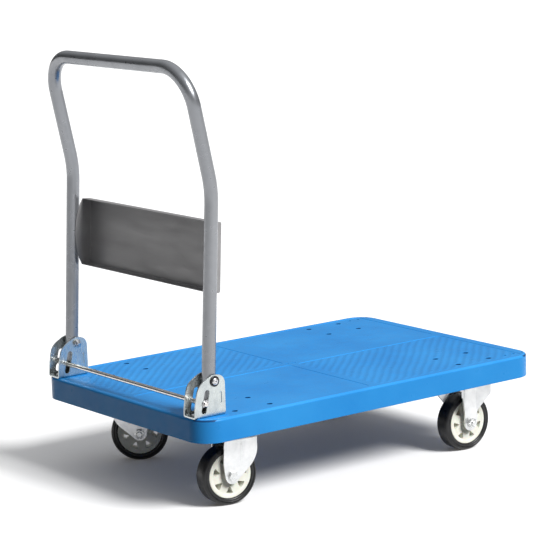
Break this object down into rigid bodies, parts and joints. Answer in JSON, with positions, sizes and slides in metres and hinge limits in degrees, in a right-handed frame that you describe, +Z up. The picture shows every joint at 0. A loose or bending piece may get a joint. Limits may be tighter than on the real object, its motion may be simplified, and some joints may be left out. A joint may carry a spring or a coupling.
{
  "type": "folding platform cart",
  "caption": "Flat load-carrying cart with a moulded deck, a push handle that folds down onto the deck, a sprung foot bar that locks it, and rubber-tyred casters.",
  "frame": {"origin": "on the floor under the middle of the deck", "axes": "+X along the deck from the handle end to the far end, +Y across it, +Z up"},
  "size_m": [0.9, 0.6, 0.911],
  "materials": {
    "blue_plastic": "glossy moulded plastic, fine grain on the treads",
    "grey_tube": "silver-grey satin powder coat",
    "grey_panel": "darker satin grey sheet",
    "zinc": "bright zinc plate",
    "white_zinc": "pale bright zinc plate",
    "steel": "plain zinc-plated steel",
    "spring_steel": "oiled spring wire",
    "hub_plastic": "off-white moulded plastic",
    "black_rubber": "black rubber"
  },
  "bodies": {
    "chassis": {"deck": "blue_plastic", "hinge_bracket_near": "zinc", "bracket_screw_near_front": "steel", "bracket_screw_near_rear": "steel", "pivot_bolt_near": "steel", "pivot_nut_near": "steel", "return_spring_near": "spring_steel", "hinge_bracket_far": "zinc", "bracket_screw_far_front": "steel", "bracket_screw_far_rear": "steel", "pivot_bolt_far": "steel", "pivot_nut_far": "steel", "return_spring_far": "spring_steel", "caster_plate_swivel_near": "zinc", "ball_race_swivel_near": "zinc", "kingpin_swivel_near": "steel", "fork_fixed_near": "white_zinc", "axle_bolt_fixed_near": "steel", "axle_nut_fixed_near": "steel", "caster_plate_swivel_far": "zinc", "ball_race_swivel_far": "zinc", "kingpin_swivel_far": "steel", "fork_fixed_far": "white_zinc", "axle_bolt_fixed_far": "steel", "axle_nut_fixed_far": "steel", "mount_screw_swivel_near_1": "steel", "mount_screw_swivel_near_2": "steel", "mount_screw_swivel_near_3": "steel", "mount_screw_swivel_near_4": "steel", "mount_screw_swivel_far_1": "steel", "mount_screw_swivel_far_2": "steel", "mount_screw_swivel_far_3": "steel", "mount_screw_swivel_far_4": "steel", "mount_screw_fixed_near_1": "steel", "mount_screw_fixed_near_2": "steel", "mount_screw_fixed_near_3": "steel", "mount_screw_fixed_near_4": "steel", "mount_screw_fixed_far_1": "steel", "mount_screw_fixed_far_2": "steel", "mount_screw_fixed_far_3": "steel", "mount_screw_fixed_far_4": "steel"},
    "handle": {"handle_tube": "grey_tube", "handle_panel": "grey_panel"},
    "lock_bar": {"foot_bar": "steel", "bar_clip_near": "steel", "bar_clip_far": "steel"},
    "swivel_near": {"fork_swivel_near": "white_zinc", "axle_bolt_swivel_near": "steel", "axle_nut_swivel_near": "steel"},
    "swivel_far": {"fork_swivel_far": "white_zinc", "axle_bolt_swivel_far": "steel", "axle_nut_swivel_far": "steel"},
    "wheel_swivel_near": {"wheel_hub_swivel_near": "hub_plastic", "tyre_swivel_near": "black_rubber"},
    "wheel_swivel_far": {"wheel_hub_swivel_far": "hub_plastic", "tyre_swivel_far": "black_rubber"},
    "wheel_fixed_near": {"wheel_hub_fixed_near": "hub_plastic", "tyre_fixed_near": "black_rubber"},
    "wheel_fixed_far": {"wheel_hub_fixed_far": "hub_plastic", "tyre_fixed_far": "black_rubber"}
  },
  "joints": [
    {"name": "handle_fold", "type": "hinge", "parent": "chassis", "child": "handle", "pos_m": [-0.3995, 0, 0.2743], "axis": [0, 1, 0], "range_deg": [0, 91]},
    {"name": "lock_bar_press", "type": "slide", "parent": "chassis", "child": "lock_bar", "axis": [-0.2425, 0, -0.9701], "range_m": [0, 0.0115], "stiffness_N_per_m": 1500, "springref_m": -0.008, "deforming": ["return_spring_near", "return_spring_far"]},
    {"name": "swivel_near", "type": "hinge", "parent": "chassis", "child": "swivel_near", "pos_m": [-0.3, -0.225, 0.148], "axis": [0, 0, 1], "continuous": true},
    {"name": "swivel_far", "type": "hinge", "parent": "chassis", "child": "swivel_far", "pos_m": [-0.3, 0.225, 0.148], "axis": [0, 0, 1], "continuous": true},
    {"name": "roll_swivel_near", "type": "hinge", "parent": "swivel_near", "child": "wheel_swivel_near", "pos_m": [-0.33974, -0.22047, 0.0625], "axis": [-0.1132, -0.9936, 0], "continuous": true},
    {"name": "roll_swivel_far", "type": "hinge", "parent": "swivel_far", "child": "wheel_swivel_far", "pos_m": [-0.26801, 0.20098, 0.0625], "axis": [0.6004, 0.7997, 0], "continuous": true},
    {"name": "roll_fixed_near", "type": "hinge", "parent": "chassis", "child": "wheel_fixed_near", "pos_m": [0.3, -0.225, 0.0625], "axis": [0, 1, 0], "continuous": true},
    {"name": "roll_fixed_far", "type": "hinge", "parent": "chassis", "child": "wheel_fixed_far", "pos_m": [0.3, 0.225, 0.0625], "axis": [0, 1, 0], "continuous": true}
  ]
}
